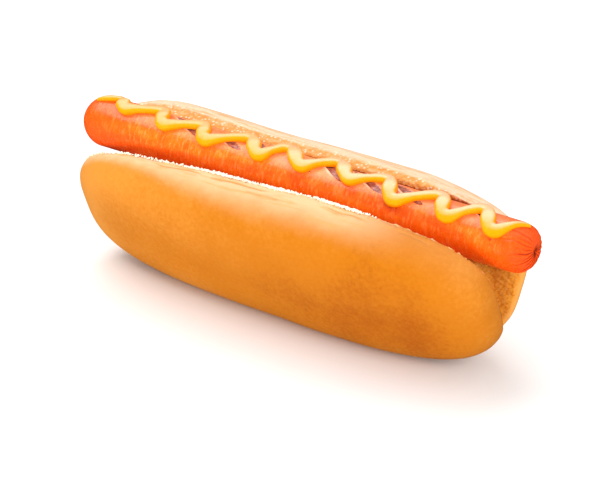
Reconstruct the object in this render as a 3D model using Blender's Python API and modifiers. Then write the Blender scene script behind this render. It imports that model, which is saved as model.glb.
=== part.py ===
"""A hot dog: a soft bun slit along one side, one long sausage in it, and a zigzag line of mustard.

Metres, +Z up. +X runs along the bun, -Y is the side of the bun that leans further out.
The origin is under the middle of the whole thing, on the surface that it stands on.
"""

import math

import bmesh
import bpy
from mathutils import Matrix, Vector

# Bun: two half loaves that share a hinge of uncut crumb low down, and lean apart above it.
# fall: how much lower the +X end's rim is. flare: how much longer the rim is than the hinge side.
# swell: how much thicker the crust side is towards +X. plan_power: squareness of the -X and +X ends.
HINGE_Y = 0.0035
HINGE_HEIGHT = 0.0095
HINGE_INSET = 0.0092
BUN_ROUND = 52
BUN_RINGS = 22
FRONT_LOAF = {
    "out": -1,
    "half_length": 0.0919,
    "half_height": 0.0312,
    "crust_dome": 0.0219,
    "crumb_dome": 0.0070,
    "plan_power": (3.6, 3.3),
    "dome_power": 2.6,
    "lean": math.radians(22.6),
    "fall": -0.04,
    "flare": -0.02,
    "swell": 0.14,
    "centre_x": -0.0015,
}
BACK_LOAF = {
    "out": 1,
    "half_length": 0.0905,
    "half_height": 0.0322,
    "crust_dome": 0.0212,
    "crumb_dome": 0.0020,
    "plan_power": (5.0, 3.4),
    "dome_power": 2.6,
    "lean": math.radians(11.3),
    "fall": 0.044,
    "flare": 0.04,
    "swell": 0.0,
    "centre_x": -0.0006,
}
CRUMB_POWER = 3.0

# Uncut crumb between the halves, which the sausage is pressed into.
BED_SIZE = (0.156, 0.031, 0.039)
BED_LIFT = 0.0285
BED_Y = 0.0010
BED_POWER = 3.0
BED_ROUND = 28
BED_RINGS = 12

# Sausage: a turned skin with a pucker at each end, laid with its -X end a little higher.
# Its +X end turns up by END_LIFT, from END_LIFT_START onwards.
SAUSAGE_LENGTH = 0.1976
SAUSAGE_RADIUS = 0.0096
SAUSAGE_TAPER = 0.04
END_LIFT = 0.0007
END_LIFT_START = 0.045
SAUSAGE_RISE = 0.0027
SAUSAGE_HEIGHT = 0.0528
LEFT_END_POWER = 1.85
RIGHT_END_POWER = 2.5
PUCKER_DEPTH = 0.0011
PUCKER_RADIUS = 0.0024
SAUSAGE_SIDES = 36
END_STEPS = 9
BODY_STEPS = 14

# Mustard: one bead squeezed from side to side over the top of the sausage.
# Each turn is (distance along the sausage, degrees round it from the top towards -Y).
BEAD_TURNS = (
    (-0.0915, 17), (-0.0818, -3), (-0.0768, 22), (-0.0615, -5), (-0.0577, 31),
    (-0.0415, 3), (-0.0377, 37), (-0.0212, -5), (-0.0134, 34), (-0.0050, -13),
    (0.0048, 30), (0.0165, -17), (0.0248, 26), (0.0380, -9), (0.0444, 42),
    (0.0600, -7), (0.0657, 42), (0.0773, -5), (0.0844, 44), (0.0950, -8),
)
BEAD_RADIUS = 0.0022
BLOB_RADIUS = 0.0024
TAIL_RADIUS = 0.0007
BEAD_LIFT = 0.0011
START_SHARE = 0.15  # of the first leg, where the bead has swelled to START_RADIUS
START_RADIUS = 0.0014  # as far as the first turn
TURN_RADIUS = 0.0029
TURN_STEPS = 5
LEG_STEPS = 2
BEAD_ROUNDING = 2

GAP = 0.0003  # between touching pieces
BASE_CUT = (0.24, 0.12, 0.02)
MERGE_DISTANCE = 0.00001
CREASE_ANGLE = math.radians(45)

# Each finish is (colour, roughness).
BUN_CRUST = ((0.896, 0.309, 0.030), 0.55)
SAUSAGE_SKIN = ((0.860, 0.130, 0.010), 0.3)
MUSTARD = ((0.930, 0.400, 0.010), 0.3)


def clear_scene():
    for item in list(bpy.data.objects):
        bpy.data.objects.remove(item)


def new_collection(name):
    group = bpy.data.collections.new(name)
    bpy.context.scene.collection.children.link(group)
    return group


def plain_material(name, colour, roughness):
    finish = bpy.data.materials.new(name)
    finish.use_nodes = True
    shader = finish.node_tree.nodes["Principled BSDF"]
    shader.inputs["Base Color"].default_value = (*colour, 1)
    shader.inputs["Roughness"].default_value = roughness
    shader.inputs["Metallic"].default_value = 0.0
    finish.diffuse_color = (*colour, 1)
    return finish


def mesh_object(name, bm, group):
    mesh = bpy.data.meshes.new(name)
    bm.to_mesh(mesh)
    bm.free()
    thing = bpy.data.objects.new(name, mesh)
    group.objects.link(thing)
    return thing


def mesh_of(guide):
    """A guide's finished shape as a closed mesh with its faces outwards."""
    bpy.context.view_layer.update()
    graph = bpy.context.evaluated_depsgraph_get()
    mesh = bpy.data.meshes.new_from_object(guide.evaluated_get(graph))
    bm = bmesh.new()
    bm.from_mesh(mesh)
    bpy.data.meshes.remove(mesh)
    bmesh.ops.remove_doubles(bm, verts=bm.verts, dist=MERGE_DISTANCE)
    bmesh.ops.recalc_face_normals(bm, faces=bm.faces)
    return bm


def hide_helper(thing):
    thing.hide_render = True
    thing.display_type = "WIRE"


def boolean(thing, other, operation):
    cut = thing.modifiers.new(f"{operation.title()} {other.name}", "BOOLEAN")
    cut.operation = operation
    cut.solver = "EXACT"
    cut.object = other


def shade_round(thing):
    thing.data.shade_smooth()
    thing.data.set_sharp_from_angle(angle=CREASE_ANGLE)


def superellipse(angle, power):
    """How far a superellipse of half-width 1 reaches in this direction."""
    return (abs(math.cos(angle)) ** power + abs(math.sin(angle)) ** power) ** (-1 / power)


def loaf_point(point, loaf):
    """Maps a point of a unit sphere, whose pole is the loaf's crust side, to the leaning half loaf."""
    around = math.atan2(point.y, point.x)
    latitude = math.asin(max(-1.0, min(1.0, point.z)))
    left_power, right_power = loaf["plan_power"]
    rightward = (1 + math.cos(around)) / 2
    plan = superellipse(around, left_power + (right_power - left_power) * rightward)
    if latitude >= 0:
        reach = superellipse(latitude, loaf["dome_power"])
        flat = math.cos(latitude) * reach
        out = loaf["crust_dome"] * math.sin(latitude) * reach
    else:
        flat = math.cos(latitude)
        out = -loaf["crumb_dome"] * (1 - flat**CRUMB_POWER)
    end = plan * math.cos(around) * flat
    rim = plan * math.sin(around) * flat
    along = loaf["half_length"] * end * (1 + loaf["flare"] * rim)
    up = (loaf["half_height"] * (1 + rim) - HINGE_INSET) * (1 - loaf["fall"] * end)
    out *= 1 + loaf["swell"] * end
    lean = loaf["lean"]
    sideways = up * math.sin(lean) + out * math.cos(lean)
    height = up * math.cos(lean) - out * math.sin(lean)
    return Vector(
        (
            along + loaf["centre_x"],
            HINGE_Y + loaf["out"] * sideways,
            HINGE_HEIGHT + height,
        )
    )


def half_loaf(name, loaf, group):
    bm = bmesh.new()
    bmesh.ops.create_uvsphere(bm, u_segments=BUN_ROUND, v_segments=BUN_RINGS, radius=1)
    for corner in bm.verts:
        corner.co = loaf_point(corner.co, loaf)
    if bm.calc_volume(signed=True) < 0:
        bmesh.ops.reverse_faces(bm, faces=bm.faces)
    return mesh_object(name, bm, group)


def crumb_bed(group):
    """A block with rounded ends that fills the slit below the sausage, short of the bun's ends."""
    bm = bmesh.new()
    bmesh.ops.create_uvsphere(bm, u_segments=BED_ROUND, v_segments=BED_RINGS, radius=1)
    for corner in bm.verts:
        x, y, z = corner.co
        fill = (abs(x) ** BED_POWER + abs(y) ** BED_POWER + abs(z) ** BED_POWER) ** (-1 / BED_POWER)
        corner.co = Vector([side * fill / 2 * size for side, size in zip((x, y, z), BED_SIZE)])
    bmesh.ops.translate(bm, vec=(0, BED_Y, BED_LIFT), verts=bm.verts)
    return mesh_object("crumb_bed", bm, group)


def base_cutter(group):
    """A block under the surface that the bun stands on, which leaves its two halves a flat foot."""
    bm = bmesh.new()
    bmesh.ops.create_cube(bm, size=1)
    bmesh.ops.scale(bm, vec=BASE_CUT, verts=bm.verts)
    bmesh.ops.translate(bm, vec=(0, 0, -BASE_CUT[2] / 2), verts=bm.verts)
    return mesh_object("base_cutter", bm, group)


def sausage_radius(along):
    return SAUSAGE_RADIUS * (1 - SAUSAGE_TAPER * along / (SAUSAGE_LENGTH / 2))


def end_lift(along):
    beyond = (along - END_LIFT_START) / (SAUSAGE_LENGTH / 2 - END_LIFT_START)
    return END_LIFT * max(beyond, 0.0) ** 2


def sausage_centre(along):
    drop = SAUSAGE_RISE * along / (SAUSAGE_LENGTH / 2)
    return Vector((along, HINGE_Y, SAUSAGE_HEIGHT - drop + end_lift(along)))


def skin_radius(along):
    """The skin's distance from the sausage's axis, round its ends too."""
    radius = sausage_radius(along)
    beyond = (abs(along) - (SAUSAGE_LENGTH / 2 - radius)) / radius
    if beyond <= 0:
        return radius
    power = LEFT_END_POWER if along < 0 else RIGHT_END_POWER
    return radius * (1 - beyond**power) ** (1 / power)


def end_profile(side, power):
    """One rounded end as (distance along, radius), from the body out to the pucker's bottom."""
    radius = sausage_radius(side * SAUSAGE_LENGTH / 2)
    shoulder = SAUSAGE_LENGTH / 2 - radius
    points = []
    for step in range(END_STEPS + 1):
        turn = math.pi / 2 * step / END_STEPS
        reach = superellipse(turn, power)
        out = math.sin(turn) * reach
        width = math.cos(turn) * reach * radius
        pucker = PUCKER_DEPTH * math.exp(-((width / PUCKER_RADIUS) ** 2))
        points.append((side * (shoulder + out * radius - pucker), max(width, 0.0)))
    return points


def sausage_profile(grow):
    left = end_profile(-1, LEFT_END_POWER)
    right = end_profile(1, RIGHT_END_POWER)
    start, stop = left[0][0], right[0][0]
    body = []
    for step in range(1, BODY_STEPS):
        along = start + (stop - start) * step / BODY_STEPS
        body.append((along, sausage_radius(along)))
    profile = left[::-1] + body + right
    stretch = 1 + 2 * grow / SAUSAGE_LENGTH
    last = len(profile) - 1
    return [
        (along * stretch, 0.0 if index in (0, last) else radius + grow)
        for index, (along, radius) in enumerate(profile)
    ]


def turned_sausage(name, grow, group):
    """The sausage as a profile turned about its own axis. grow makes it that much larger all round."""
    outline = bpy.data.meshes.new(name)
    points = [(radius, 0, along) for along, radius in reversed(sausage_profile(grow))]
    edges = [(index, index + 1) for index in range(len(points) - 1)]
    outline.from_pydata(points, edges, [])
    guide = bpy.data.objects.new("sausage_guide", outline)
    group.objects.link(guide)
    turn = guide.modifiers.new("Turn", "SCREW")
    turn.axis = "Z"
    turn.steps = SAUSAGE_SIDES
    turn.render_steps = SAUSAGE_SIDES
    turn.use_merge_vertices = True
    turn.merge_threshold = MERGE_DISTANCE
    tilt = math.atan2(2 * SAUSAGE_RISE, SAUSAGE_LENGTH)
    lay_down = Matrix.Rotation(math.pi / 2 + tilt, 4, "Y")
    bm = mesh_of(guide)
    bm.transform(Matrix.Translation(sausage_centre(0)) @ lay_down)
    for corner in bm.verts:
        corner.co.z += end_lift(corner.co.x)
    bpy.data.objects.remove(guide)
    return mesh_object(name, bm, group)


def rounded_corner(before, corner, after, radius):
    """The points of an arc of that radius which turns a flat path round at its corner point."""
    back, ahead = (before - corner).normalized(), (after - corner).normalized()
    middle = (back + ahead).normalized()
    centre = corner + middle * radius
    sweep = math.pi / 2 - back.angle(ahead) / 2
    side = 1 if back.cross(ahead) < 0 else -1
    arc = []
    for step in range(TURN_STEPS + 1):
        turn = side * sweep * (2 * step / TURN_STEPS - 1)
        spoke = Matrix.Rotation(turn, 2) @ (-middle * radius)
        arc.append(centre + spoke)
    return arc


def bead_path():
    """The bead's flat route, (along, round), with its thickness: fat where it turns at the front."""
    turns = [
        Vector((along, math.radians(angle) * SAUSAGE_RADIUS)) for along, angle in BEAD_TURNS
    ]
    path = [(turns[0], TAIL_RADIUS), (turns[0].lerp(turns[1], START_SHARE), START_RADIUS)]
    for index in range(1, len(turns) - 1):
        before, corner, after = turns[index - 1 : index + 2]
        arc = rounded_corner(before, corner, after, TURN_RADIUS)
        last = path[-1][0]
        leg_radius = START_RADIUS if index == 1 else BEAD_RADIUS
        for step in range(1, LEG_STEPS + 1):
            path.append((last.lerp(arc[0], step / (LEG_STEPS + 1)), leg_radius))
        at_front = corner.y > before.y
        path += [(point, BLOB_RADIUS if at_front else leg_radius) for point in arc]
    last = path[-1][0]
    path.append((last.lerp(turns[-1], 0.5), (BEAD_RADIUS + TAIL_RADIUS) / 2))
    path.append((turns[-1], TAIL_RADIUS))
    return path


def mustard_bead(name, group):
    """A round bead along the path, made a mesh so that its underside can be cut to the sausage."""
    path = bead_path()
    curve = bpy.data.curves.new(name, "CURVE")
    curve.dimensions = "3D"
    curve.bevel_depth = 1.0  # each point's own radius then gives the bead's, in metres
    curve.bevel_resolution = BEAD_ROUNDING
    curve.use_fill_caps = True
    line = curve.splines.new("POLY")
    line.points.add(len(path) - 1)
    for point, (flat, radius) in zip(line.points, path):
        turn = flat.y / SAUSAGE_RADIUS
        reach = skin_radius(flat.x) + min(BEAD_LIFT, radius / 2)
        outward = Vector((0, -math.sin(turn), math.cos(turn)))
        point.co = (*(sausage_centre(flat.x) + outward * reach), 1)
        point.radius = radius
    guide = bpy.data.objects.new("bead_guide", curve)
    group.objects.link(guide)
    bm = mesh_of(guide)
    bpy.data.objects.remove(guide)
    return mesh_object(name, bm, group)


def make_bun(parts, cutters, sausage_room):
    bun = half_loaf("bun", FRONT_LOAF, parts)
    back = half_loaf("back_loaf", BACK_LOAF, cutters)
    hide_helper(back)
    bed = crumb_bed(cutters)
    hide_helper(bed)
    base = base_cutter(cutters)
    hide_helper(base)
    boolean(bun, back, "UNION")
    boolean(bun, bed, "UNION")
    boolean(bun, sausage_room, "DIFFERENCE")
    boolean(bun, base, "DIFFERENCE")
    bun.data.materials.append(plain_material("bun_crust", *BUN_CRUST))
    shade_round(bun)
    return bun


def make_sausage(parts):
    sausage = turned_sausage("sausage", 0.0, parts)
    sausage.data.materials.append(plain_material("sausage_skin", *SAUSAGE_SKIN))
    return sausage


def make_mustard(parts, sausage_room):
    mustard = mustard_bead("mustard", parts)
    boolean(mustard, sausage_room, "DIFFERENCE")
    mustard.data.materials.append(plain_material("mustard", *MUSTARD))
    shade_round(mustard)
    return mustard


def main():
    clear_scene()
    parts = new_collection("hot_dog")
    cutters = new_collection("cutters")
    sausage_room = turned_sausage("sausage_room", GAP, cutters)
    hide_helper(sausage_room)
    make_bun(parts, cutters, sausage_room)
    make_sausage(parts)
    make_mustard(parts, sausage_room)


main()
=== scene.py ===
import math
import random

import bpy
import numpy as np
from mathutils import Matrix, Vector, noise


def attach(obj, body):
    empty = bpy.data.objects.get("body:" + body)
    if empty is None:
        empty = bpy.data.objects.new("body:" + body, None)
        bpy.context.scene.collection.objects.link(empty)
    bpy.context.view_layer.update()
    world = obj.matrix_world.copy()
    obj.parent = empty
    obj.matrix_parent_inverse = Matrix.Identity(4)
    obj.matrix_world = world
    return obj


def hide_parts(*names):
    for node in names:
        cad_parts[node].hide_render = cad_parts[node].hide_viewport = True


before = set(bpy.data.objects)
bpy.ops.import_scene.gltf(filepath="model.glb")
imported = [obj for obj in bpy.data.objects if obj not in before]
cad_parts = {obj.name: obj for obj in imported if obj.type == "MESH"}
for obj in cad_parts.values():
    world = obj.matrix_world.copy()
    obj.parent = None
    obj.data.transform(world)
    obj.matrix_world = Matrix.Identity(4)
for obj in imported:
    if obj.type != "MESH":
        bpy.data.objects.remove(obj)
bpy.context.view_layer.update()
bpy.ops.object.select_all(action="DESELECT")
millimetres = 1000  # in a metre


# small helpers that every piece uses


def activate(piece):
    bpy.ops.object.select_all(action="DESELECT")
    piece.select_set(True)
    bpy.context.view_layer.objects.active = piece


def bakePlace(piece):
    activate(piece)
    bpy.ops.object.transform_apply(location=True, rotation=True, scale=True)


def joinPieces(pieces):
    bpy.ops.object.select_all(action="DESELECT")
    for piece in pieces:
        piece.select_set(True)
    bpy.context.view_layer.objects.active = pieces[0]
    bpy.ops.object.join()
    return pieces[0]


def addModifier(piece, kind, **settings):
    activate(piece)
    modifier = piece.modifiers.new(kind.title(), kind)
    for setting, value in settings.items():
        setattr(modifier, setting, value)
    bpy.ops.object.modifier_apply(modifier=modifier.name)


def getPoints(piece):
    points = np.empty(len(piece.data.vertices) * 3, np.float32)
    piece.data.vertices.foreach_get("co", points)
    return points.reshape(-1, 3).astype(float)


def setPoints(piece, points):
    piece.data.vertices.foreach_set("co", points.astype(np.float32).ravel())
    piece.data.update()


def getNormals(piece):
    normals = np.empty(len(piece.data.vertices) * 3, np.float32)
    piece.data.vertex_normals.foreach_get("vector", normals)
    return normals.reshape(-1, 3).astype(float)


def writeField(piece, name, values):
    field = piece.data.attributes.get(name) or piece.data.attributes.new(name, "FLOAT", "POINT")
    field.data.foreach_set("value", np.asarray(values, np.float32))


def selectPoints(piece, chosen):
    activate(piece)
    bpy.ops.object.mode_set(mode="EDIT")
    bpy.ops.mesh.select_mode(type="VERT")
    bpy.ops.mesh.select_all(action="DESELECT")
    bpy.ops.object.mode_set(mode="OBJECT")
    piece.data.vertices.foreach_set("select", np.asarray(chosen, bool))
    bpy.ops.object.mode_set(mode="EDIT")


def smoothPoints(piece, chosen, factor, repeat):
    selectPoints(piece, chosen)
    bpy.ops.mesh.vertices_smooth(factor=factor, repeat=repeat)
    bpy.ops.object.mode_set(mode="OBJECT")


def facesOutward(piece):
    activate(piece)
    bpy.ops.object.mode_set(mode="EDIT")
    bpy.ops.mesh.select_all(action="SELECT")
    bpy.ops.mesh.remove_doubles(threshold=0.000001)
    bpy.ops.mesh.normals_make_consistent(inside=False)
    bpy.ops.object.mode_set(mode="OBJECT")


def smoothstep(low, high, value):
    share = np.clip((value - low) / (high - low), 0, 1)
    return share * share * (3 - 2 * share)


def between(start, stop, value):
    # rises from 0 to 1 over the start range, and falls back to 0 over the stop range
    return smoothstep(*start, value) * (1 - smoothstep(*stop, value))


def mottle(points, size, octaves=3, seed=0.0):
    # soft noise from -1 to 1 with features of about that size, which may differ along X, Y and Z
    places = points / np.asarray(size) + seed
    return np.array([noise.fractal(Vector(place), 1.0, 2.0, octaves) for place in places])


def cells(points, size, seed=0.0):
    # distance to the middle of the nearest cell, and to the next one, in cells
    places = points / np.asarray(size) + seed
    return np.array([noise.voronoi(Vector(place))[0][:2] for place in places])


def finishPiece(piece, finish, node):
    activate(piece)
    bpy.ops.object.shade_smooth()
    piece.data.materials.clear()
    piece.data.materials.append(finish)
    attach(piece, "root")
    if node:
        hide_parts(node)
    print(piece.name + ":", sum(len(face.vertices) - 2 for face in piece.data.polygons), "triangles")


# node materials


class NodeFinish:
    # a Principled material whose nodes are added one by one
    def __init__(self, name, look):
        self.material = bpy.data.materials.new(name)
        self.material.use_nodes = True
        self.tree = self.material.node_tree
        self.shader = self.tree.nodes["Principled BSDF"]
        for socket, value in look.items():
            self.shader.inputs[socket].default_value = value
        self.place = self.add("ShaderNodeTexCoord").outputs["Object"]

    def add(self, kind, **settings):
        node = self.tree.nodes.new(kind)
        for setting, value in settings.items():
            setattr(node, setting, value)
        return node

    def link(self, source, target):
        if isinstance(source, bpy.types.NodeSocket):
            self.tree.links.new(source, target)
        else:
            target.default_value = source

    def stretch(self, scale, turn=(0, 0, 0)):
        mapping = self.add("ShaderNodeMapping")
        mapping.inputs["Scale"].default_value = scale
        mapping.inputs["Rotation"].default_value = turn
        self.link(self.place, mapping.inputs["Vector"])
        return mapping.outputs["Vector"]

    def noise(self, scale, detail=3.0, rough=0.5, place=None):
        node = self.add("ShaderNodeTexNoise")
        node.inputs["Scale"].default_value = scale
        node.inputs["Detail"].default_value = detail
        node.inputs["Roughness"].default_value = rough
        self.link(place or self.place, node.inputs["Vector"])
        return node.outputs["Fac"]

    def cells(self, scale):
        node = self.add("ShaderNodeTexVoronoi")
        node.inputs["Scale"].default_value = scale
        self.link(self.place, node.inputs["Vector"])
        return node.outputs["Distance"]

    def field(self, name):
        return self.add("ShaderNodeAttribute", attribute_name=name).outputs["Fac"]

    def math(self, operation, first, second=0.0):
        node = self.add("ShaderNodeMath", operation=operation)
        self.link(first, node.inputs[0])
        self.link(second, node.inputs[1])
        return node.outputs[0]

    def plus(self, first, second):
        return self.math("ADD", first, second)

    def times(self, first, second):
        return self.math("MULTIPLY", first, second)

    def swing(self, pattern, amount):
        # a noise pattern, which is 0.5 on average, turned to one that goes both ways from 0
        return self.times(self.math("SUBTRACT", pattern, 0.5), amount)

    def fit(self, value, low, high, bottom=0.0, top=1.0):
        # a soft step from bottom to top as the value goes from low to high
        node = self.add("ShaderNodeMapRange", interpolation_type="SMOOTHSTEP")
        for socket, given in zip(node.inputs[:5], (value, low, high, bottom, top)):
            self.link(given, socket)
        return node.outputs[0]

    def mix(self, share, first, second):
        node = self.add("ShaderNodeMix", data_type="RGBA")
        self.link(share, node.inputs["Factor"])
        for socket, colour in ((node.inputs[6], first), (node.inputs[7], second)):
            self.link(colour if isinstance(colour, bpy.types.NodeSocket) else (*colour, 1), socket)
        return node.outputs[2]

    def bump(self, height, strength, distance, below=None):
        node = self.add("ShaderNodeBump")
        node.inputs["Strength"].default_value = strength
        node.inputs["Distance"].default_value = distance
        self.link(height, node.inputs["Height"])
        if below:
            self.link(below, node.inputs["Normal"])
        return node.outputs["Normal"]

    def finish(self, colour, roughness, normal):
        self.link(colour, self.shader.inputs["Base Color"])
        self.link(roughness, self.shader.inputs["Roughness"])
        self.link(normal, self.shader.inputs["Normal"])
        return self.material


# camera, lights and floor

studio = {
    "azimuth": 32.5, "elevation": 28.2, "distance": 0.655, "lens": 103.65, "sensor": 36,
    "aimLift": 0.0002, "aimRight": 0.00316, "aimUp": -0.02513,  # from the middle of the sausage
    "floorSize": 6.0, "floorColour": (0.80, 0.80, 0.80), "floorShade": 0.99, "worldStrength": 0.79,
    # place, aim, size, watts and colour of each soft light, and whether surfaces mirror it
    "lights": {
        "topSoftbox": ((-0.47, 0.17, 0.98), (0.0, 0.0, 0.04), (1.45, 0.70), 11.5, (1.0, 0.99, 0.98), True),
        "sideFill": ((1.2, -0.6, 0.8), (0.0, 0.0, 0.03), (0.9, 0.9), 16.0, (1.0, 0.98, 0.95), False),
        "lowFill": ((-0.05, -1.25, 0.07), (0.0, 0.0, 0.02), (1.2, 0.13), 13.0, (1.0, 0.97, 0.90), False),
    },
}


def direction(azimuth, elevation):
    turn, rise = math.radians(azimuth), math.radians(elevation)
    return Vector((math.sin(turn) * math.cos(rise), -math.cos(turn) * math.cos(rise), math.sin(rise)))


def addCamera(target):
    back = direction(studio["azimuth"], studio["elevation"])
    right = Vector((0, 0, 1)).cross(back).normalized()
    aim = target + right * studio["aimRight"] + back.cross(right) * studio["aimUp"]
    bpy.ops.object.camera_add(location=aim + back * studio["distance"])
    camera = bpy.context.object
    camera.name = "camera"
    camera.rotation_euler = (-back).to_track_quat("-Z", "Y").to_euler()
    camera.data.lens = studio["lens"]
    camera.data.sensor_width = studio["sensor"]
    camera.data.clip_start = 0.01
    bpy.context.scene.camera = camera


def addLights():
    for name, (place, aim, size, watts, colour, mirrored) in studio["lights"].items():
        bpy.ops.object.light_add(type="AREA", location=place)
        light = bpy.context.object
        light.name = name
        light.rotation_euler = (Vector(aim) - Vector(place)).to_track_quat("-Z", "Y").to_euler()
        light.data.shape = "RECTANGLE"
        light.data.size, light.data.size_y = size
        light.data.energy = watts
        light.data.color = colour
        light.visible_glossy = mirrored
    world = bpy.data.worlds.new("softWhite")
    world.use_nodes = True
    bpy.context.scene.world = world
    background = world.node_tree.nodes["Background"]
    background.inputs["Color"].default_value = (1, 1, 1, 1)
    background.inputs["Strength"].default_value = studio["worldStrength"]
    world.cycles_visibility.glossy = False
    bpy.context.scene.view_settings.view_transform = "Standard"


def addFloor():
    bpy.ops.mesh.primitive_plane_add(size=studio["floorSize"])
    floor = bpy.context.object
    floor.name = "floor"
    paint = NodeFinish("paleFloor", {"Specular IOR Level": 0.1})
    grain = paint.noise(40.0)
    shade = tuple(channel * studio["floorShade"] for channel in studio["floorColour"])
    colour = paint.mix(paint.fit(grain, 0.3, 0.7), shade, studio["floorColour"])
    normal = paint.bump(grain, 0.02, 0.0002)
    floor.visible_glossy = False
    floor.data.materials.append(paint.finish(colour, paint.fit(grain, 0.3, 0.7, 0.85, 0.95), normal))


# the bun: two half loaves that lean apart from a shared hinge, and the crumb bed between them

bun = {
    "hinge": (0.0035, 0.0095),  # Y and Z
    "hingeInset": 0.0092,
    "roundSteps": 220, "ringSteps": 110,
    "bedSize": (0.156, 0.031, 0.039), "bedPlace": (0.0, 0.0010, 0.0285), "bedRounding": 0.012,
    "voxel": 0.00108,
    # the crease under the hinge is smoothed: below what height, how far to each side, how many times
    "creaseTop": 0.010, "creaseReach": 0.009, "creaseRepeat": 40,
    # finer mesh, twice along the cut edges: from and to across the edge, and how near the top rim
    "fineEdge": (-0.0016, 0.0034, 0.45), "finerEdge": (-0.0010, 0.0028, 0.55),
    # finer mesh on the back half's open face, from what height, and on the cut face's +X end
    "fineFace": 0.050, "finerFace": 0.052, "fineEnd": 0.84,
    "crustDent": 0.00025, "dentSize": (0.034, 0.020, 0.020),
    "streakDepth": 0.00012, "streakSize": (0.012, 0.0022, 0.0022),
    "poreDepth": 0.00050, "poreSizes": (0.0024, 0.0011),
    "ragged": 0.0004, "raggedReach": 0.0010, "raggedSizes": (0.0011, 0.0045),
    # long cracks in the crust near the cut: which half, from and to along X, distance from the cut
    "cracks": (
        (-1, -0.052, -0.026, 0.0020), (-1, -0.030, 0.004, 0.0024), (-1, 0.024, 0.046, 0.0028),
        (-1, -0.010, 0.012, 0.0046), (-1, 0.052, 0.070, 0.0022), (1, -0.050, -0.020, 0.0030),
        (1, 0.010, 0.038, 0.0024), (1, -0.005, 0.012, 0.0052),
    ),
    "crackDepth": 0.00035, "crackHalfWidth": 0.00035, "crackWander": 0.0007, "crackFade": 0.006,
    # the back half's -X end is rounded off under the sausage: how far, and where along X, Y and Z
    "tuck": 0.0055, "tuckAlong": (-0.094, -0.076), "tuckHeight": (0.022, 0.034),
    "tuckAcross": ((-0.002, 0.003), (0.004, 0.022)),
    # the back half's +X end swells out: how far, and where along X, Y and Z
    "swell": 0.00075, "swellAlong": (0.076, 0.090), "swellAcross": (0.004, 0.010),
    "swellHeight": ((0.008, 0.022), (0.044, 0.058)),
    # the back half's cut face folds over the sausage: how far and which way, at what height, its reach,
    # how deep from the edge, where it fades towards the ends, and how uneven it is
    "fold": (0.0, -0.0052, 0.0024), "foldHeight": 0.0590, "foldReach": 0.0035,
    "foldEdge": (0.0012, -0.0004), "foldEnds": (0.84, 0.98),
    "foldWave": 0.12, "foldWaveSize": (0.012, 0.006, 0.006),
    "sausageRoom": 0.0001,
}
# fall: how much lower the +X end's rim is; flare: how much longer the rim is than the hinge side
# swell: how much thicker the crust is towards +X; waves: (x, width, lift) of the rim's rises and dips
frontLoaf = {
    "out": -1, "halfLength": 0.0919, "halfHeight": 0.0312, "crustDome": 0.0219, "crumbDome": 0.0070,
    "planPower": (3.6, 3.3), "domePower": 2.6, "lean": math.radians(22.6),
    "fall": -0.04, "flare": -0.02, "swell": 0.14, "centre": -0.0015,
    "waves": ((-0.045, 0.014, -0.0008), (0.020, 0.014, 0.0006)),
}
backLoaf = {
    "out": 1, "halfLength": 0.0905, "halfHeight": 0.0322, "crustDome": 0.0212, "crumbDome": 0.0020,
    "planPower": (5.0, 3.4), "domePower": 2.6, "lean": math.radians(11.3),
    "fall": 0.044, "flare": 0.04, "swell": 0.0, "centre": -0.0006,
    "waves": ((-0.065, 0.012, 0.0011), (-0.018, 0.022, -0.0006), (0.048, 0.016, 0.0006)),
}


def superellipse(angle, power):
    return (abs(math.cos(angle)) ** power + abs(math.sin(angle)) ** power) ** (-1 / power)


def planReach(around, loaf):
    left, right = loaf["planPower"]
    return superellipse(around, left + (right - left) * (1 + math.cos(around)) / 2)


def rimLift(along, loaf):
    return sum(lift * math.exp(-(((along - place) / width) ** 2)) for place, width, lift in loaf["waves"])


def loafPoint(point, loaf):
    # moves a point of a unit sphere, whose pole is the crust side, to the leaning half loaf
    around = math.atan2(point.y, point.x)
    latitude = math.asin(max(-1.0, min(1.0, point.z)))
    plan = planReach(around, loaf)
    if latitude >= 0:
        reach = superellipse(latitude, loaf["domePower"])
        flat = math.cos(latitude) * reach
        out = loaf["crustDome"] * math.sin(latitude) * reach
    else:
        flat = math.cos(latitude)
        out = -loaf["crumbDome"] * (1 - flat**3)
    end, rim = plan * math.cos(around) * flat, plan * math.sin(around) * flat
    along = loaf["halfLength"] * end * (1 + loaf["flare"] * rim)
    up = (loaf["halfHeight"] * (1 + rim) - bun["hingeInset"]) * (1 - loaf["fall"] * end)
    up += rimLift(along + loaf["centre"], loaf) * max(rim, 0) ** 2
    out *= 1 + loaf["swell"] * end
    lean = loaf["lean"]
    sideways = up * math.sin(lean) + out * math.cos(lean)
    height = up * math.cos(lean) - out * math.sin(lean)
    hingeY, hingeZ = bun["hinge"]
    return Vector((along + loaf["centre"], hingeY + loaf["out"] * sideways, hingeZ + height))


def loafPlace(points, loaf):
    # the other way: how far a point is along the half, how near the top rim, how far out from the cut,
    # and how far in from the cut's edge
    hingeY, hingeZ = bun["hinge"]
    sideways, height = loaf["out"] * (points[:, 1] - hingeY), points[:, 2] - hingeZ
    lean = loaf["lean"]
    up = sideways * math.sin(lean) + height * math.cos(lean)
    out = sideways * math.cos(lean) - height * math.sin(lean)
    along = points[:, 0] - loaf["centre"]
    end = along / loaf["halfLength"]
    rim = np.zeros_like(end)
    for _ in range(3):
        rim = (up / (1 - loaf["fall"] * end) + bun["hingeInset"]) / loaf["halfHeight"] - 1
        end = along / loaf["halfLength"] / (1 + loaf["flare"] * rim)
    lift = np.array([rimLift(x, loaf) for x in points[:, 0]]) * np.maximum(rim, 0) ** 2
    rim -= lift / loaf["halfHeight"]
    around = np.arctan2(rim, end)
    flat = np.hypot(end, rim) / np.array([planReach(turn, loaf) for turn in around])
    return end, rim, out, (1 - flat) * loaf["halfHeight"]


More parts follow.
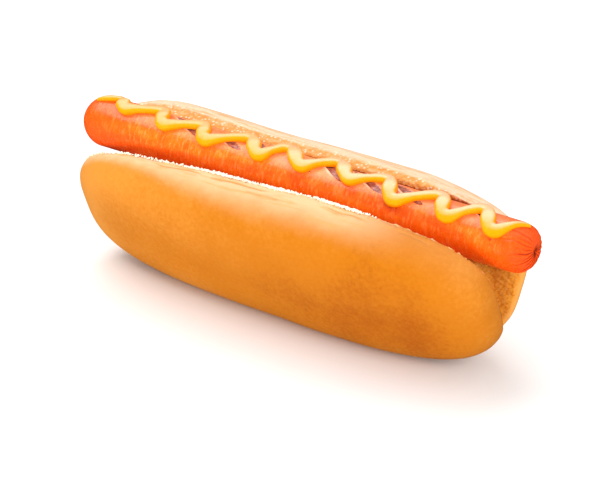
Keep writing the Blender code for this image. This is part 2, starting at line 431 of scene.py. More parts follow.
def addHalfLoaf(name, loaf):
    bpy.ops.mesh.primitive_uv_sphere_add(segments=bun["roundSteps"], ring_count=bun["ringSteps"], radius=1)
    half = bpy.context.object
    half.name = name
    for corner in half.data.vertices:
        corner.co = loafPoint(corner.co, loaf)
    facesOutward(half)
    return half


def addCrumbBed():
    bpy.ops.mesh.primitive_cube_add(size=1, location=bun["bedPlace"], scale=bun["bedSize"])
    bed = bpy.context.object
    bed.name = "crumbBed"
    bakePlace(bed)
    addModifier(bed, "BEVEL", width=bun["bedRounding"], segments=8, limit_method="NONE")
    return bed


def measureBun(loaf):
    # for each point: distance from the cut edge (over 0 on the crust), nearness to the top rim, place
    # along its half, and whether it is on the back half
    points = getPoints(loaf)
    found = [loafPlace(points, half) for half in (frontLoaf, backLoaf)]
    out = np.stack([place[2] for place in found])
    inward = np.stack([np.maximum(place[3], 0) for place in found])
    onBack = out[1] > out[0]
    out = out.max(0)
    edge = np.where(out > 0, out, -inward.min(0))
    rim = np.where(onBack, found[1][1], found[0][1])
    end = np.where(onBack, found[1][0], found[0][0])
    back = points[:, 1] > bun["hinge"][0]
    return points, edge, rim, end, back


def clearSausage(points, room):
    # crumb that would be inside the sausage is pressed back to its skin
    axis = sausageAxis(points[:, 0])
    away = points - axis
    away[:, 0] = 0
    distance = np.linalg.norm(away, axis=1)
    skin = sausageRadius(points[:, 0]) + room
    inside = (distance < skin) & (np.abs(points[:, 0]) < sausage["length"] / 2)
    points[inside] = axis[inside] + away[inside] / distance[inside, None] * skin[inside, None]
    return points


def refine(loaf, chosen):
    selectPoints(loaf, chosen)
    bpy.ops.mesh.subdivide(number_cuts=1)
    bpy.ops.mesh.quads_convert_to_tris(quad_method="BEAUTY")
    bpy.ops.object.mode_set(mode="OBJECT")


def crackField(points, edge, back):
    wander = mottle(points, (0.010, 0.004, 0.004), 2, 17.0)
    found = np.zeros(len(points))
    for half, start, stop, distance in bun["cracks"]:
        across = np.abs(edge - distance - bun["crackWander"] * wander) / bun["crackHalfWidth"]
        ends = between((start, start + bun["crackFade"]), (stop - bun["crackFade"], stop), points[:, 0])
        found = np.maximum(found, np.exp(-across**2) * ends * (back == (half > 0)))
    return found


def tuckedEnd(points):
    share = between(*bun["tuckAcross"], points[:, 1])
    share *= 1 - smoothstep(*bun["tuckAlong"], points[:, 0])
    return bun["tuck"] * share * smoothstep(*bun["tuckHeight"], points[:, 2])


def swollenEnd(points):
    share = smoothstep(*bun["swellAcross"], points[:, 1]) * smoothstep(*bun["swellAlong"], points[:, 0])
    return bun["swell"] * share * between(*bun["swellHeight"], points[:, 2])


def leaningFold(points, end, edge, back):
    # where the back half's cut face leans over the sausage: most at one height, less towards the ends
    height = np.exp(-(((points[:, 2] - bun["foldHeight"]) / bun["foldReach"]) ** 2))
    face = back * smoothstep(*bun["foldEdge"], edge) * (1 - smoothstep(*bun["foldEnds"], np.abs(end)))
    wave = 1 + bun["foldWave"] * mottle(points, bun["foldWaveSize"], 2, 21.0)
    return np.array(bun["fold"]) * (height * face * wave)[:, None]


def shapeLoaf():
    # the two halves and the crumb bed as one mesh, finer where the bread is torn and toasted
    loaf = joinPieces([addHalfLoaf("bunLoaf", frontLoaf), addHalfLoaf("backHalf", backLoaf), addCrumbBed()])
    addModifier(loaf, "REMESH", mode="VOXEL", voxel_size=bun["voxel"], use_smooth_shade=True)
    points = getPoints(loaf)
    crease = np.abs(points[:, 1] - bun["hinge"][0]) < bun["creaseReach"]
    crease &= points[:, 2] < bun["creaseTop"]
    smoothPoints(loaf, np.ones(len(points), bool), 0.5, 2)
    smoothPoints(loaf, crease, 0.5, bun["creaseRepeat"])
    points, edge, rim, end, back = measureBun(loaf)
    inner, outer, lowest = bun["fineEdge"]
    cutEdge = (edge > inner) & (edge < outer) & (rim > lowest)
    openFace = (edge < 0) & back & (points[:, 2] > bun["fineFace"])
    endFace = (edge < 0) & (end > bun["fineEnd"]) & (rim > -0.8)
    refine(loaf, cutEdge | openFace | endFace)
    points, edge, rim, end, back = measureBun(loaf)
    inner, outer, lowest = bun["finerEdge"]
    cutEdge = (edge > inner) & (edge < outer) & (rim > lowest) & ~back
    openFace = (edge < 0.0006) & back & (points[:, 2] > bun["finerFace"])
    refine(loaf, cutEdge | openFace)
    smoothPoints(loaf, np.ones(len(loaf.data.vertices), bool), 0.5, 1)
    return loaf


def makeBun():
    loaf = shapeLoaf()
    points, edge, rim, end, back = measureBun(loaf)
    normals = getNormals(loaf)
    # soft dents, cracks and drawn streaks in the crust
    height = bun["crustDent"] * mottle(points, bun["dentSize"], 2)
    cracks = crackField(points, edge, back)
    height -= bun["crackDepth"] * cracks
    band = between((0.0004, 0.0014), (0.003, 0.008), edge) * smoothstep(0.5, 0.9, rim)
    height += bun["streakDepth"] * band * mottle(points, bun["streakSize"], 2, 7.0)
    # open pores in the crumb, and the torn cut edge
    wide, small = bun["poreSizes"]
    crumb = 1 - smoothstep(-0.0004, 0.0002, edge)
    pores = smoothstep(0.35, 0.9, cells(points, wide, 3.0)[:, 0]) * 0.7
    pores += smoothstep(0.3, 0.8, cells(points, small, 5.0)[:, 0]) * 0.5
    height += bun["poreDepth"] * crumb * (pores - 0.6)
    small, wide = bun["raggedSizes"]
    nearEdge = np.exp(-((edge / bun["raggedReach"]) ** 2)) * smoothstep(-0.2, 0.4, rim)
    ragged = mottle(points, small, 2, 11.0) + 0.7 * mottle(points, wide, 2, 12.0)
    height += bun["ragged"] * nearEdge * ragged
    points += normals * height[:, None]
    points[:, 0] += tuckedEnd(points) + swollenEnd(points)
    points += leaningFold(points, end, edge, back)
    points = clearSausage(points, bun["sausageRoom"])
    points[:, 2] = np.maximum(points[:, 2], 0)
    setPoints(loaf, points)
    writeField(loaf, "edge", edge * millimetres)
    writeField(loaf, "rim", rim)
    writeField(loaf, "end", end)
    writeField(loaf, "back", back.astype(float))
    writeField(loaf, "pore", pores * crumb)
    writeField(loaf, "crack", cracks)
    finishPiece(loaf, breadFinish(), "bun")


bread = {
    "gold": (0.435, 0.131, 0.003), "lightGold": (0.55, 0.205, 0.024), "deepGold": (0.31, 0.069, 0.0),
    "paleFront": (0.64, 0.385, 0.205), "paleBack": (0.74, 0.49, 0.33), "tan": (0.66, 0.25, 0.06),
    "crumb": (0.84, 0.74, 0.62), "face": (0.66, 0.38, 0.17), "toast": (0.62, 0.270, 0.075),
    "darkToastAndPoreShade": (0.54, 0.180, 0.025), "crack": (0.52, 0.21, 0.05),
    "endToast": (0.56, 0.178, 0.008), "endPale": (0.70, 0.30, 0.035), "paintedEndLight": (0.67, 0.28, 0.055),
}


def breadFinish():
    crust = NodeFinish("bakedBread", {
        "Specular IOR Level": 0.10, "Subsurface Weight": 0.1, "Subsurface Scale": 0.002,
        "Subsurface Radius": (1.0, 0.45, 0.2), "Sheen Weight": 0.05, "Sheen Roughness": 0.5,
        "Sheen Tint": (1.0, 0.75, 0.35, 1),
    })
    edge, rim, end, back = (crust.field(name) for name in ("edge", "rim", "end", "back"))
    broad = crust.noise(38.0, 3.0)
    fine = crust.noise(620.0, 5.0, 0.68)
    speckle = crust.noise(2200.0, 3.0, 0.6)
    # crust colour: deeper towards +X, partly real browning and partly painted shade; lighter high up, partly
    # paler crust and partly painted light; lighter low down, painted light from below; and lighter where it
    # turns round the ends
    away = crust.plus(crust.times(crust.math("ABSOLUTE", rim), -0.42),
                      crust.fit(crust.math("ABSOLUTE", end), 0.70, 1.0, 0.14, -0.60))
    depth = crust.plus(away, crust.times(end, 0.52))
    depth = crust.plus(depth, crust.swing(broad, 0.9))
    depth = crust.plus(depth, crust.swing(fine, 0.9))
    colour = crust.mix(crust.fit(depth, -0.9, 0.05), bread["lightGold"], bread["gold"])
    colour = crust.mix(crust.fit(depth, 0.0, 0.70), colour, bread["deepGold"])
    # pale band under the top cut edge
    ragged = crust.noise(150.0, 3.0)
    reach = crust.plus(edge, crust.swing(ragged, 3.5))
    width = crust.math("MAXIMUM", crust.fit(end, -0.85, -0.1, 5.0, 13.0), crust.times(back, 10.0))
    band = crust.fit(crust.math("DIVIDE", reach, width), 1.2, 0.15)
    band = crust.times(band, crust.fit(rim, 0.30, 0.75))
    band = crust.times(band, crust.math("MAXIMUM", crust.fit(end, 0.72, 0.34, 0.10, 1.0), back))
    colour = crust.mix(band, colour, crust.mix(back, bread["paleFront"], bread["paleBack"]))
    drawn = crust.noise(1.0, 3.0, 0.6, crust.stretch((70, 620, 620)))
    colour = crust.mix(crust.times(crust.fit(drawn, 0.50, 0.66, 0.0, 0.6), band), colour, bread["tan"])
    colour = crust.mix(crust.times(crust.field("crack"), 0.85), colour, bread["crack"])
    # the back half's crust is pale along the edge of its +X end: painted light that lifts the shade on that
    # edge
    paintedEndLight = crust.times(crust.fit(edge, 5.0, 2.0), crust.fit(end, 0.86, 0.94))
    colour = crust.mix(crust.times(paintedEndLight, back), colour, bread["paintedEndLight"])
    # cut face: white crumb with toasted patches, browner towards the +X end
    patches = crust.noise(640.0, 4.0, 0.6)
    streaks = crust.noise(1.0, 4.0, 0.6, crust.stretch((90, 520, 520)))
    toasted = crust.times(crust.fit(end, 0.45, 0.9), 0.16)
    toasted = crust.plus(toasted, crust.fit(edge, -2.0, -7.0, 0.0, 0.10))
    toast = crust.plus(crust.times(crust.plus(patches, streaks), 0.5), toasted)
    face = crust.mix(crust.fit(toast, 0.42, 0.54), bread["face"], bread["toast"])
    face = crust.mix(crust.times(crust.fit(toast, 0.54, 0.68), 0.7), face, bread["darkToastAndPoreShade"])
    # painted shade: the pores in the cut face are darkened
    face = crust.mix(crust.times(crust.field("pore"), 0.35), face, bread["darkToastAndPoreShade"])
    flecks = crust.cells(620.0)
    face = crust.mix(crust.fit(flecks, 0.36, 0.20, 0.0, 0.5), face, bread["crumb"])
    endFace = crust.mix(crust.fit(crust.noise(1050.0, 3.0), 0.36, 0.52), bread["endToast"], bread["endPale"])
    face = crust.mix(crust.fit(end, 0.78, 0.88, 0.0, 0.9), face, endFace)
    # the torn line of white crumb along the cut edge
    torn = crust.plus(edge, crust.swing(fine, 1.2))
    line = crust.times(crust.fit(torn, -1.6, -0.7), crust.fit(rim, 0.2, 0.6))
    line = crust.times(line, crust.fit(back, 0.0, 1.0, 1.0, 0.35))
    line = crust.times(line, crust.math("MAXIMUM", crust.fit(end, 0.62, 0.38, 0.15, 1.0), back))
    face = crust.mix(line, face, bread["crumb"])
    isCrust = crust.fit(torn, -0.1, 0.25)
    colour = crust.mix(isCrust, face, colour)
    roughness = crust.fit(fine, 0.3, 0.7, 0.45, 0.6)
    roughness = crust.plus(roughness, crust.times(crust.math("SUBTRACT", 1.0, isCrust), 0.3))
    normal = crust.bump(fine, 0.25, 0.0006)
    normal = crust.bump(speckle, 0.15, 0.0003, normal)
    return crust.finish(colour, roughness, normal)


# the sausage: a turned skin with a pucker at each end

sausage = {
    # height is its middle's; drop: how much lower the +X end is than that; taper: how much slimmer
    "length": 0.1976, "radius": 0.0096, "taper": 0.04, "drop": 0.0027, "height": 0.0528,
    "endLift": 0.0007, "endLiftStart": 0.045,
    "endPowers": (1.85, 2.5), "puckerDepth": 0.0011, "puckerRadius": 0.0024,
    "sides": 200, "rings": 400,
    # share of the rings, and where along the skin they reach, from the -X pucker; the rest reach the +X one
    "ringPlaces": ((0.0, 0.0), (0.14, 0.016), (0.66, 0.183)),
    "unevenness": 0.00012,
    # each pucker: which end, how far off the middle towards -Y and up, folds, their reach and depth
    "puckers": ((-1, 0.0, 0.0, 13, 0.0060, 0.0004), (1, 0.0010, 0.0016, 21, 0.0125, 0.0013)),
    "puckerFrom": 0.08, "foldWander": 1.3, "foldSharpness": 0.7, "foldUnevenness": 0.45, "middleShade": 0.35,
    # dimples on the front of the +X end: distance along and degrees round, spread, size of each, depth, and
    # their painted shade
    "dimplePlace": (0.0835, 62), "dimpleSpread": (0.0055, 12), "dimpleSize": (0.0030, 0.0016, 0.0016),
    "dimpleDepth": 0.0002, "dimpleShade": 0.35,
    # score marks across the top: distance along, and from and to round in degrees
    "marks": (
        (-0.0480, -20, 34), (-0.0308, 2, 34), (-0.0145, -20, 22), (0.0010, -20, 34), (0.0160, -20, 34),
        (0.0312, -20, 34), (0.0478, -20, 31), (0.0630, -20, 7), (0.0783, -20, 24),
    ),
    "markSlope": 0.00026, "markHalfWidth": 0.0034, "markDepth": 0.00040, "lipHeight": 0.35,
    "markWave": 0.0007, "markWaveSize": 0.004,
}


def sausageRadius(along):
    return sausage["radius"] * (1 - sausage["taper"] * along / (sausage["length"] / 2))


def sausageAxis(along):
    along = np.asarray(along, float)
    half = sausage["length"] / 2
    beyond = np.maximum(along - sausage["endLiftStart"], 0) / (half - sausage["endLiftStart"])
    height = sausage["height"] - sausage["drop"] * along / half + sausage["endLift"] * beyond**2
    return np.stack([along, np.full_like(along, bun["hinge"][0]), height], axis=-1)


def sausageProfile():
    # (along, radius) from the -X pucker to the +X one, in even steps of its own length
    outline = []
    for side, power in zip((-1, 1), sausage["endPowers"]):
        radius = sausageRadius(side * sausage["length"] / 2)
        points = []
        for turn in np.linspace(0, math.pi / 2, 200):
            reach = superellipse(turn, power)
            width = math.cos(turn) * reach * radius
            dip = sausage["puckerDepth"] * math.exp(-((width / sausage["puckerRadius"]) ** 2))
            place = sausage["length"] / 2 - radius + math.sin(turn) * reach * radius - dip
            points.append((side * place, width))
        outline += points[::-1] if side < 0 else points
    outline = np.array(outline)
    outline[[0, -1], 1] = 0
    steps = np.append(0, np.cumsum(np.hypot(*np.diff(outline, axis=0).T)))
    return outline, steps


def skinRadius(along):
    outline, _ = sausageProfile()
    order = np.argsort(outline[:, 0])
    return np.interp(along, outline[order, 0], outline[order, 1])


def puckerFolds(points, seed):
    # folds in the skin that run together at each end: their depth, and a painted shade share that is highest
    # in the creases and near each pucker's middle
    relief, near = np.zeros(len(points)), np.zeros(len(points))
    wander = mottle(points, 0.005, 2, seed)
    for side, front, up, folds, reach, depth in sausage["puckers"]:
        middle = sausageAxis(side * sausage["length"] / 2)
        sideways, lifted = middle[1] - points[:, 1] - front, points[:, 2] - middle[2] - up
        out = np.hypot(sideways, lifted)
        distance = np.hypot(out, 0.8 * (points[:, 0] - middle[0] + side * sausage["puckerDepth"]))
        turn = np.arctan2(lifted, sideways)
        crease = np.abs(np.sin(turn * folds / 2 + sausage["foldWander"] * wander)) ** sausage["foldSharpness"]
        length = reach * (1 + sausage["foldUnevenness"] * np.sin(turn * 4 + seed) * np.sin(turn * 7))
        fade = smoothstep(0.0002, 0.0012, distance) * (1 - smoothstep(0.25, 1.0, distance / length))
        fade *= 0.45 + 0.55 * smoothstep(0.5, -0.3, lifted / np.maximum(out, 0.0001))  # deepest below
        here = points[:, 0] * side > sausage["puckerFrom"]
        relief -= here * depth * fade * (1 - crease)
        near = np.maximum(near, here * (1 - crease) * fade)
        middleShade = sausage["middleShade"] * here * (1 - smoothstep(0.0006, 0.0022, distance))
        near = np.maximum(near, middleShade)
    return relief, near


def dimplePatch(points, along, degrees):
    (place, turn), (length, reach) = sausage["dimplePlace"], sausage["dimpleSpread"]
    patch = np.exp(-(((along - place) / length) ** 2) - (((degrees - turn) / reach) ** 2))
    return patch * (1 - smoothstep(0.1, 0.5, cells(points, sausage["dimpleSize"], 8.0)[:, 0]))


def scoreMarks(along, degrees):
    # how far each point is inside a score mark, and how far on the raised pale lip on the mark's -X side
    mark, lip = np.zeros(len(along)), np.zeros(len(along))
    for place, low, high in sausage["marks"]:
        reach = np.clip((2 * degrees - low - high) / (high - low), -1, 1)
        halfWidth = sausage["markHalfWidth"] * np.sqrt(np.maximum(1 - np.abs(reach) ** 4, 0.0001))
        across = (along - place - sausage["markSlope"] * (degrees - 8)) / halfWidth
        mark = np.maximum(mark, (1 - smoothstep(0.7, 1.0, np.abs(across))) * (np.abs(reach) < 0.995))
        ridge = np.exp(-(((across + 1.12) / 0.17) ** 2)) * (1 - smoothstep(0.55, 0.9, np.abs(reach)))
        lip = np.maximum(lip, ridge)
    return mark, lip


def makeSausage():
    bpy.ops.mesh.primitive_uv_sphere_add(segments=sausage["sides"], ring_count=sausage["rings"], radius=1)
    skin = bpy.context.object
    skin.name = "sausageSkin"
    points = getPoints(skin)
    outline, steps = sausageProfile()
    share = np.arccos(np.clip(-points[:, 2], -1, 1)) / math.pi
    ringShare, skinPlace = np.array(sausage["ringPlaces"] + ((1.0, steps[-1]),)).T
    place = np.interp(share, ringShare, skinPlace)
    along = np.interp(place, steps, outline[:, 0])
    radius = np.interp(place, steps, outline[:, 1])
    around = np.arctan2(-points[:, 1], points[:, 0])  # 0 on top, over 0 towards -Y
    degrees = np.degrees(around)
    centre = sausageAxis(along)
    outward = np.stack([np.zeros(len(points)), -np.sin(around), np.cos(around)], axis=1)
    points = centre + outward * radius[:, None]
    relief = sausage["unevenness"] * mottle(points, (0.020, 0.008, 0.008), 2, 3.0)
    folds, creaseShade = puckerFolds(points, 2.4)
    dimples = dimplePatch(points, along, degrees)
    wave = mottle(points, sausage["markWaveSize"], 3, 14.0)
    mark, lip = scoreMarks(along + sausage["markWave"] * wave, degrees)
    relief += folds - sausage["dimpleDepth"] * dimples
    relief += sausage["markDepth"] * (sausage["lipHeight"] * lip - mark)
    # less relief, and never a negative radius, right at the poles
    radius = np.maximum(radius + relief * np.minimum(1, radius / 0.0012), 0.4 * radius)
    setPoints(skin, centre + outward * radius[:, None])
    facesOutward(skin)
    if len(skin.data.vertices) != len(mark):
        raise ValueError("the sausage's points were merged")
    writeField(skin, "mark", mark)
    writeField(skin, "lip", lip)
    writeField(skin, "fold", np.maximum(creaseShade, sausage["dimpleShade"] * dimples))
    writeField(skin, "round", around)
    writeField(skin, "along", along * millimetres)
    finishPiece(skin, skinFinish(), "sausage")


skinLook = {
    "red": (0.80, 0.103, 0.0005), "light": (0.86, 0.165, 0.004), "deep": (0.76, 0.060, 0.0),
    "ridgeHighlight": (0.92, 0.270, 0.060), "top": (0.88, 0.31, 0.140), "crease": (0.26, 0.010, 0.0),
    "mark": (0.42, 0.130, 0.090), "char": (0.22, 0.050, 0.035), "lip": (0.92, 0.60, 0.45),
}


def skinFinish():
    skin = NodeFinish("cookedSkin", {
        "Specular IOR Level": 0.35, "Subsurface Weight": 0.12, "Subsurface Scale": 0.002,
        "Subsurface Radius": (1.0, 0.25, 0.1), "Coat Weight": 0.22, "Coat Roughness": 0.14,
    })
    bands = skin.noise(1.0, 3.0, 0.6, skin.stretch((1000, 300, 300)))
    blush = skin.noise(1.0, 3.0, 0.55, skin.stretch((120, 190, 190)))
    spots = skin.noise(1400.0, 2.0, 0.6)
    colour = skin.mix(skin.fit(blush, 0.35, 0.68), skinLook["red"], skinLook["light"])
    colour = skin.mix(skin.fit(blush, 0.40, 0.25, 0.0, 0.5), colour, skinLook["deep"])
    # painted highlights on the ridges of the fine bands, and painted shade in the grooves between them
    colour = skin.mix(skin.fit(bands, 0.50, 0.64, 0.0, 0.55), colour, skinLook["ridgeHighlight"])
    colour = skin.mix(skin.times(skin.fit(bands, 0.48, 0.28), 0.40), colour, skinLook["deep"])
    # lighter along the top, a painted highlight; redder where it turns under, a painted shade; and redder at
    # the ends
    turn = skin.math("ABSOLUTE", skin.plus(skin.field("round"), skin.swing(blush, 0.5)))
    along = skin.field("along")
    topHighlight = skin.times(skin.fit(turn, 0.85, 0.4), skin.fit(along, -95.0, 40.0, 0.30, 0.62))
    colour = skin.mix(topHighlight, colour, skinLook["top"])
    colour = skin.mix(skin.times(skin.fit(turn, 1.2, 1.7), 0.5), colour, skinLook["deep"])
    ends = skin.math("MAXIMUM", skin.fit(along, 84.0, 95.0), skin.fit(along, -58.0, -92.0))
    ends = skin.plus(skin.times(ends, 0.65), skin.fit(along, 5.0, 60.0, 0.0, 0.25))
    colour = skin.mix(ends, colour, skinLook["deep"])
    # painted shade in the pucker creases, at the pucker middles and in the dimples
    colour = skin.mix(skin.fit(skin.field("fold"), 0.03, 0.60, 0.0, 0.92), colour, skinLook["crease"])
    # score marks: browned, each with a pale lip
    marked = skin.plus(skin.field("mark"), skin.swing(spots, 0.5))
    colour = skin.mix(skin.times(skin.field("lip"), 0.8), colour, skinLook["lip"])
    scorch = skin.noise(1.0, 3.0, 0.6, skin.stretch((500, 900, 900), (0, 0, 0.6)))
    char = skin.mix(skin.fit(scorch, 0.42, 0.62), skinLook["mark"], skinLook["char"])
    colour = skin.mix(skin.fit(marked, 0.3, 0.6), colour, char)
    roughness = skin.fit(spots, 0.3, 0.7, 0.24, 0.36)
    normal = skin.bump(bands, 0.55, 0.0005)
    normal = skin.bump(spots, 0.10, 0.0003, normal)
    return skin.finish(colour, roughness, normal)


# the mustard: one bead, shaped flat as (along, round, height) and then wrapped onto the sausage

mustard = {
    # where it turns: distance along, degrees round from the top towards -Y
    "turns": (
        (-0.0915, 17), (-0.0818, -3), (-0.0768, 22), (-0.0615, -5), (-0.0577, 31),
        (-0.0415, 3), (-0.0377, 37), (-0.0212, -5), (-0.0134, 34), (-0.0050, -13),
        (0.0048, 30), (0.0165, -17), (0.0248, 26), (0.0380, -9), (0.0444, 42),
        (0.0600, -7), (0.0657, 42), (0.0773, -5), (0.0844, 44), (0.0950, -8),
    ),
    "turnRadius": 0.0029, "turnSteps": 5, "legSteps": 5,
    # half the bead's width: at its ends, on its end legs and at the first turn, at back turns, on the way
    # down to the front, at front turns, and on the way back up
    "tip": 0.0007, "start": 0.0013, "back": 0.0022, "fall": 0.0031, "front": 0.0024, "leg": 0.0015,
    "lift": 0.0011, "voxel": 0.00033, "sink": 0.0003, "unevenness": 0.00012,
    "slumpFrom": 0.0014, "slumpRange": 0.0017,  # above slumpFrom the bead sinks under its own weight
    # pale painted highlight on the upper side: from and to what upward facing, its weight at -X and what it
    # gains over a range along X
    "highlightFacing": (0.66, 1.0), "highlightWeight": (0.65, 0.35), "highlightAlong": (-0.030, 0.030),
    # painted shade on the under side: from and to what upward facing
    "shadeFacing": (0.40, -0.30),
}


def turnArc(before, corner, after):
    # points of an arc that passes through the corner and turns the flat path round there
    back, ahead = (before - corner).normalized(), (after - corner).normalized()
    middle = (back + ahead).normalized()
    centre = corner + middle * mustard["turnRadius"]
    sweep = math.pi / 2 - back.angle(ahead) / 2
    side = 1 if back.x * ahead.y - back.y * ahead.x < 0 else -1
    steps = mustard["turnSteps"]
    turns = [side * sweep * (2 * step / steps - 1) for step in range(steps + 1)]
    return [centre + Matrix.Rotation(turn, 3, "Z") @ (-middle * mustard["turnRadius"]) for turn in turns]


def beadPath():
    radius = sausage["radius"]
    corners = [Vector((along, math.radians(turn) * radius, 0)) for along, turn in mustard["turns"]]
    stops = [[corners[0]]]
    stops += [turnArc(*corners[index - 1:index + 2]) for index in range(1, len(corners) - 1)]
    stops.append([corners[-1]])
    widths = [mustard["tip"]]
    widths += [mustard["back" if index % 2 else "front"] for index in range(1, len(corners) - 1)]
    widths[1] = mustard["start"]
    widths.append(mustard["tip"])
    path = []
    for index, (arc, width) in enumerate(zip(stops, widths)):
        path += [(point, width) for point in arc]
        if index == len(stops) - 1:
            break
        middle = mustard["fall" if index % 2 else "leg" if 0 < index < len(stops) - 2 else "start"]
        for step in range(1, mustard["legSteps"]):
            share = step / mustard["legSteps"]
            nearStart, nearStop = max(0, 1 - 2 * share), max(0, 2 * share - 1)
            between = width * nearStart + widths[index + 1] * nearStop + middle * (1 - nearStart - nearStop)
            path.append((arc[-1].lerp(stops[index + 1][0], share), between))
    return path


def wrapMustard(points):
    turn = points[:, 1] / sausage["radius"]
    over = np.maximum(points[:, 2] - mustard["slumpFrom"], 0)
    height = np.minimum(points[:, 2], mustard["slumpFrom"])
    height += mustard["slumpRange"] * np.tanh(over / mustard["slumpRange"])
    height = np.maximum(height, -mustard["sink"])
    outward = np.stack([np.zeros(len(points)), -np.sin(turn), np.cos(turn)], axis=1)
    reach = skinRadius(points[:, 0]) + height
    return sausageAxis(points[:, 0]) + outward * reach[:, None]


def makeMustard():
    path = beadPath()
    curve = bpy.data.curves.new("beadLine", "CURVE")
    curve.dimensions = "3D"
    curve.bevel_depth = 1.0  # each point's own radius then gives the bead's
    curve.bevel_resolution = 6
    curve.use_fill_caps = True
    curve.resolution_u = 4
    line = curve.splines.new("NURBS")
    line.points.add(len(path) - 1)
    line.order_u = 3
    line.use_endpoint_u = True
    for point, (place, radius) in zip(line.points, path):
        point.co = (place.x, place.y, mustard["lift"] * min(1, radius / mustard["leg"]), 1)
        point.radius = radius
    bead = bpy.data.objects.new("mustardBead", curve)
    bpy.context.scene.collection.objects.link(bead)
    activate(bead)
    bpy.ops.object.convert(target="MESH")
    bead = bpy.context.object
    facesOutward(bead)
    addModifier(bead, "REMESH", mode="VOXEL", voxel_size=mustard["voxel"], use_smooth_shade=True)
    addModifier(bead, "SMOOTH", factor=0.5, iterations=8)
    points = getPoints(bead)
    points += getNormals(bead) * (mustard["unevenness"] * mottle(points, 0.005, 2, 2.0))[:, None]
    setPoints(bead, wrapMustard(points))
    facesOutward(bead)  # wrapping turned the faces round
    # palest on its upper side, a painted highlight, more so towards +X, and deepest where it turns under, a
    # painted shade
    facing = getNormals(bead)[:, 2]
    least, gain = mustard["highlightWeight"]
    paintedHighlight = least + gain * smoothstep(*mustard["highlightAlong"], getPoints(bead)[:, 0])
    writeField(bead, "paintedHighlight", smoothstep(*mustard["highlightFacing"], facing) * paintedHighlight)
    writeField(bead, "flankShade", smoothstep(*mustard["shadeFacing"], facing))
    finishPiece(bead, mustardFinish(), "mustard")


mustardLook = {
    "yellow": (0.86, 0.270, 0.0), "light": (0.88, 0.285, 0.003), "deep": (0.80, 0.215, 0.0),
    "creamHighlight": (0.82, 0.43, 0.23),
}


def mustardFinish():
    sauce = NodeFinish("mustardSauce", {
        "Specular IOR Level": 0.16, "Subsurface Weight": 0.15, "Subsurface Scale": 0.001,
        "Subsurface Radius": (1.0, 0.7, 0.2), "Coat Weight": 0.14, "Coat Roughness": 0.1,
    })
    swirl = sauce.noise(170.0, 3.0, 0.55)
    grit = sauce.noise(2200.0, 2.0)
    colour = sauce.mix(sauce.fit(swirl, 0.35, 0.7), mustardLook["yellow"], mustardLook["light"])
    colour = sauce.mix(sauce.times(sauce.fit(grit, 0.6, 0.8), 0.4), colour, mustardLook["deep"])
    # painted shade on the under side, and a painted pale highlight on the upper side
    colour = sauce.mix(sauce.times(sauce.field("flankShade"), 0.6), colour, mustardLook["deep"])
    colour = sauce.mix(sauce.field("paintedHighlight"), colour, mustardLook["creamHighlight"])
    roughness = sauce.fit(swirl, 0.3, 0.7, 0.22, 0.32)
    normal = sauce.bump(swirl, 0.05, 0.0006)
    normal = sauce.bump(grit, 0.03, 0.0002, normal)
    return sauce.finish(colour, roughness, normal)


# loose crumbs: along the front half's torn edge, and on the back half's toasted face

crumbs = {
    "seed": 11, "size": (0.00022, 0.00052), "bigShare": 0.06, "bigSize": 1.8, "unevenness": 0.22,
    "stretch": (0.6, 1.2),
    # along the torn edge: how many, from and to round the outline in degrees, how far they stray
    "edgeCount": 900, "edgeReach": (47, 150), "edgeSpread": 0.00032,
    # where they gather, by place and spread along X, the share elsewhere, and from where there is none
    "thick": ((0.005, 0.007), (0.030, 0.009), (-0.020, 0.014)), "thinShare": 0.22, "thinUntil": 0.036,
    # on the back half's face: how many, and the shares of its length and height they lie in
    "faceCount": 260, "faceAcross": (-0.72, 0.25), "faceUp": (0.45, 0.93),
    "colour": (0.86, 0.78, 0.66), "shade": (0.84, 0.62, 0.38),
}


def crumbFinish():
    finish = NodeFinish("whiteCrumb", {
        "Specular IOR Level": 0.15, "Subsurface Weight": 0.2, "Subsurface Scale": 0.0008,
        "Subsurface Radius": (1.0, 0.8, 0.6),
    })
    tone = finish.noise(900.0, 3.0)
    colour = finish.mix(finish.fit(tone, 0.45, 0.75), crumbs["colour"], crumbs["shade"])
    return finish.finish(colour, finish.fit(tone, 0.3, 0.7, 0.75, 0.95), finish.bump(tone, 0.4, 0.0003))


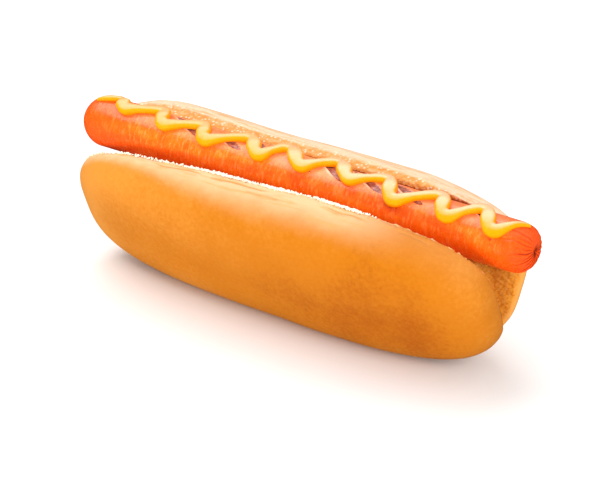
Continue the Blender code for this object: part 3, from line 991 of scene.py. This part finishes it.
def edgePlace(draw):
    # a place on the front half's cut edge, more often where crumbs gather
    while True:
        turn = math.radians(draw.uniform(*crumbs["edgeReach"]))
        place = loafPoint(Vector((math.cos(turn), math.sin(turn), 0)), frontLoaf)
        gather = max(math.exp(-(((place.x - middle) / spread) ** 2)) for middle, spread in crumbs["thick"])
        if draw.random() < max(crumbs["thinShare"] if place.x < crumbs["thinUntil"] else 0, gather):
            return place


def facePlace(draw):
    across, up = draw.uniform(*crumbs["faceAcross"]), draw.uniform(*crumbs["faceUp"])
    across *= math.sqrt(1 - up * up) * 0.9 + 0.1
    depth = -math.sqrt(max(0.0, 1 - across * across - up * up))
    return loafPoint(Vector((across, up, depth)), backLoaf)


def makeCrumbs():
    draw = random.Random(crumbs["seed"])
    places = [edgePlace(draw) for _ in range(crumbs["edgeCount"])]
    places += [facePlace(draw) for _ in range(crumbs["faceCount"])]
    bpy.ops.mesh.primitive_cube_add(size=1)
    first = bpy.context.object
    first.name = "crumbs"
    bpy.ops.object.mode_set(mode="EDIT")
    bpy.ops.mesh.subdivide(number_cuts=1, smoothness=1.0)
    bpy.ops.object.mode_set(mode="OBJECT")
    copies = [first]
    for _ in places[1:]:
        copy = first.copy()
        copy.data = first.data.copy()
        bpy.context.scene.collection.objects.link(copy)
        copies.append(copy)
    for index, (crumb, place) in enumerate(zip(copies, places)):
        size = draw.uniform(*crumbs["size"])
        if draw.random() < crumbs["bigShare"] and index < crumbs["edgeCount"]:
            size *= crumbs["bigSize"]
        for corner in crumb.data.vertices:
            corner.co *= 1 + draw.uniform(-1, 1) * crumbs["unevenness"]
        spread = [draw.uniform(-1, 1) * crumbs["edgeSpread"] for _ in range(3)]
        crumb.location = place + Vector(spread)
        crumb.rotation_euler = [draw.uniform(0, math.tau) for _ in range(3)]
        crumb.scale = [size * draw.uniform(*crumbs["stretch"]) for _ in range(3)]
    piece = joinPieces(copies)
    bakePlace(piece)
    facesOutward(piece)
    finishPiece(piece, crumbFinish(), None)


addCamera(Vector(sausageAxis(0.0)) + Vector((0, 0, studio["aimLift"])))
addLights()
addFloor()
print("studio ready")
makeBun()
makeSausage()
makeMustard()
makeCrumbs()
